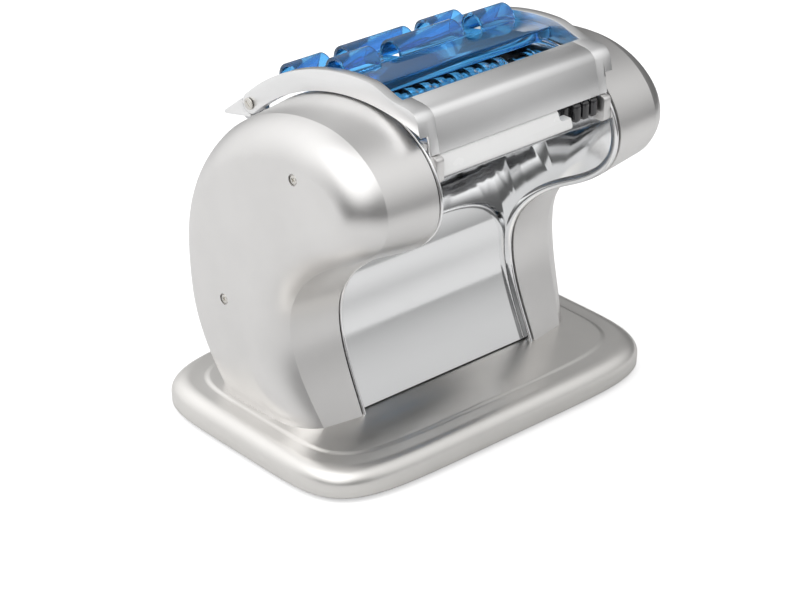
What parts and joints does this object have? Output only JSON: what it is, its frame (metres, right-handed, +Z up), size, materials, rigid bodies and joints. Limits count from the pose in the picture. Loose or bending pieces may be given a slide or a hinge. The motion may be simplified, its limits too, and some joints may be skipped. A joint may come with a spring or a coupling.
{
  "type": "electric pasta maker",
  "caption": "Motor-driven pasta maker: hooked end housings on a base plate, hinged cover with a clear finger guard, smooth rollers and two cutters.",
  "frame": {"origin": "on the table under the middle of the machine", "axes": "+X from the left housing to the right one seen from the front, -Y to the front, +Z up"},
  "size_m": [0.3008, 0.2225, 0.2671],
  "materials": {
    "satin_silver": "satin silver",
    "satin_base": "satin grey",
    "mirror_chrome": "polished",
    "white_gloss": "glossy",
    "black_plastic": "moulded",
    "rubber": "matt",
    "steel": "machined",
    "roller_steel": "ground",
    "blue_clear": "clear blue",
    "red_plastic": "glossy"
  },
  "bodies": {
    "chassis": {"base_plate": "satin_base", "base_cover": "black_plastic", "rubber_feet": "rubber", "left_housing": "satin_silver", "right_housing": "satin_silver", "left_side_plate": "mirror_chrome", "right_side_plate": "mirror_chrome", "left_bead": "mirror_chrome", "right_bead": "mirror_chrome", "front_chute": "mirror_chrome", "rear_panel": "satin_silver", "left_cheek": "satin_silver", "right_cheek": "satin_silver", "deflector": "white_gloss", "outlet_block": "black_plastic", "left_gear_plate": "steel", "gear_plate_pillars": "steel", "housing_bosses": "black_plastic", "housing_screws": "steel", "tie_rods": "steel", "left_hinge_bracket": "steel", "right_hinge_bracket": "steel", "left_tail": "satin_silver", "right_tail": "satin_silver", "hinge_pins": "steel", "shaft_bushes": "steel", "feed_guides": "black_plastic", "roller_scrapers": "roller_steel", "cutter_scrapers": "roller_steel", "idler_stud": "steel", "gear_motor": "steel", "cord_inlet": "black_plastic", "switch_bezel": "black_plastic"},
    "cover": {"left_arm": "satin_silver", "right_arm": "satin_silver", "front_bar": "satin_silver", "finger_guard": "blue_clear"},
    "front_roller": {"front_roller": "roller_steel"},
    "gap_carriage": {"left_bearing_block": "steel", "right_bearing_block": "steel"},
    "rear_roller": {"rear_roller": "roller_steel"},
    "fine_front": {"fine_cutter_front": "roller_steel"},
    "fine_rear": {"fine_cutter_rear": "roller_steel"},
    "wide_front": {"wide_cutter_front": "roller_steel"},
    "wide_rear": {"wide_cutter_rear": "roller_steel"},
    "idler": {"idler_gear": "steel"},
    "motor_output": {"motor_gear": "steel"},
    "knob": {"thickness_knob": "black_plastic", "knob_shaft": "steel"},
    "rocker": {"switch_rocker": "red_plastic"}
  },
  "joints": [
    {"name": "cover_hinge", "type": "hinge", "parent": "chassis", "child": "cover", "pos_m": [0, 0.069, 0.21477], "axis": [-1, 0, 0], "range_deg": [0, 80]},
    {"name": "front_roller_spin", "type": "hinge", "parent": "chassis", "child": "front_roller", "pos_m": [0, 0.001, 0.18784], "axis": [1, 0, 0], "continuous": true},
    {"name": "roller_gap", "type": "slide", "parent": "chassis", "child": "gap_carriage", "axis": [0, 1, 0], "range_m": [-0.002, 0]},
    {"name": "rear_roller_spin", "type": "hinge", "parent": "gap_carriage", "child": "rear_roller", "pos_m": [0, 0.0373, 0.18784], "axis": [1, 0, 0], "continuous": true},
    {"name": "fine_front_spin", "type": "hinge", "parent": "chassis", "child": "fine_front", "pos_m": [0, -0.079, 0.221], "axis": [1, 0, 0], "continuous": true},
    {"name": "fine_rear_spin", "type": "hinge", "parent": "chassis", "child": "fine_rear", "pos_m": [0, -0.0585, 0.221], "axis": [1, 0, 0], "continuous": true},
    {"name": "wide_front_spin", "type": "hinge", "parent": "chassis", "child": "wide_front", "pos_m": [0, -0.0335, 0.221], "axis": [1, 0, 0], "continuous": true},
    {"name": "wide_rear_spin", "type": "hinge", "parent": "chassis", "child": "wide_rear", "pos_m": [0, -0.013, 0.221], "axis": [1, 0, 0], "continuous": true},
    {"name": "idler_spin", "type": "hinge", "parent": "chassis", "child": "idler", "pos_m": [0, 0.02098, 0.14863], "axis": [1, 0, 0], "continuous": true},
    {"name": "motor_spin", "type": "hinge", "parent": "chassis", "child": "motor_output", "pos_m": [0, 0.03497, 0.10903], "axis": [1, 0, 0], "continuous": true},
    {"name": "knob_turn", "type": "hinge", "parent": "chassis", "child": "knob", "pos_m": [0.138, 0.0373, 0.16984], "axis": [1, 0, 0], "range_deg": [0, 180]},
    {"name": "rocker_tilt", "type": "hinge", "parent": "chassis", "child": "rocker", "pos_m": [0.136, 0.034, 0.08], "axis": [0, 1, 0], "range_deg": [-8, 8]}
  ],
  "couplings": [
    {"joint": "rear_roller_spin", "follows": "front_roller_spin", "ratio": -1},
    {"joint": "wide_rear_spin", "follows": "front_roller_spin", "ratio": -1.25},
    {"joint": "wide_front_spin", "follows": "front_roller_spin", "ratio": 1.25},
    {"joint": "fine_rear_spin", "follows": "front_roller_spin", "ratio": -1.25},
    {"joint": "fine_front_spin", "follows": "front_roller_spin", "ratio": 1.25},
    {"joint": "idler_spin", "follows": "front_roller_spin", "ratio": -0.83333},
    {"joint": "motor_spin", "follows": "front_roller_spin", "ratio": 1.1111},
    {"joint": "knob_turn", "follows": "roller_gap", "rad_per_m": -1570.8}
  ]
}
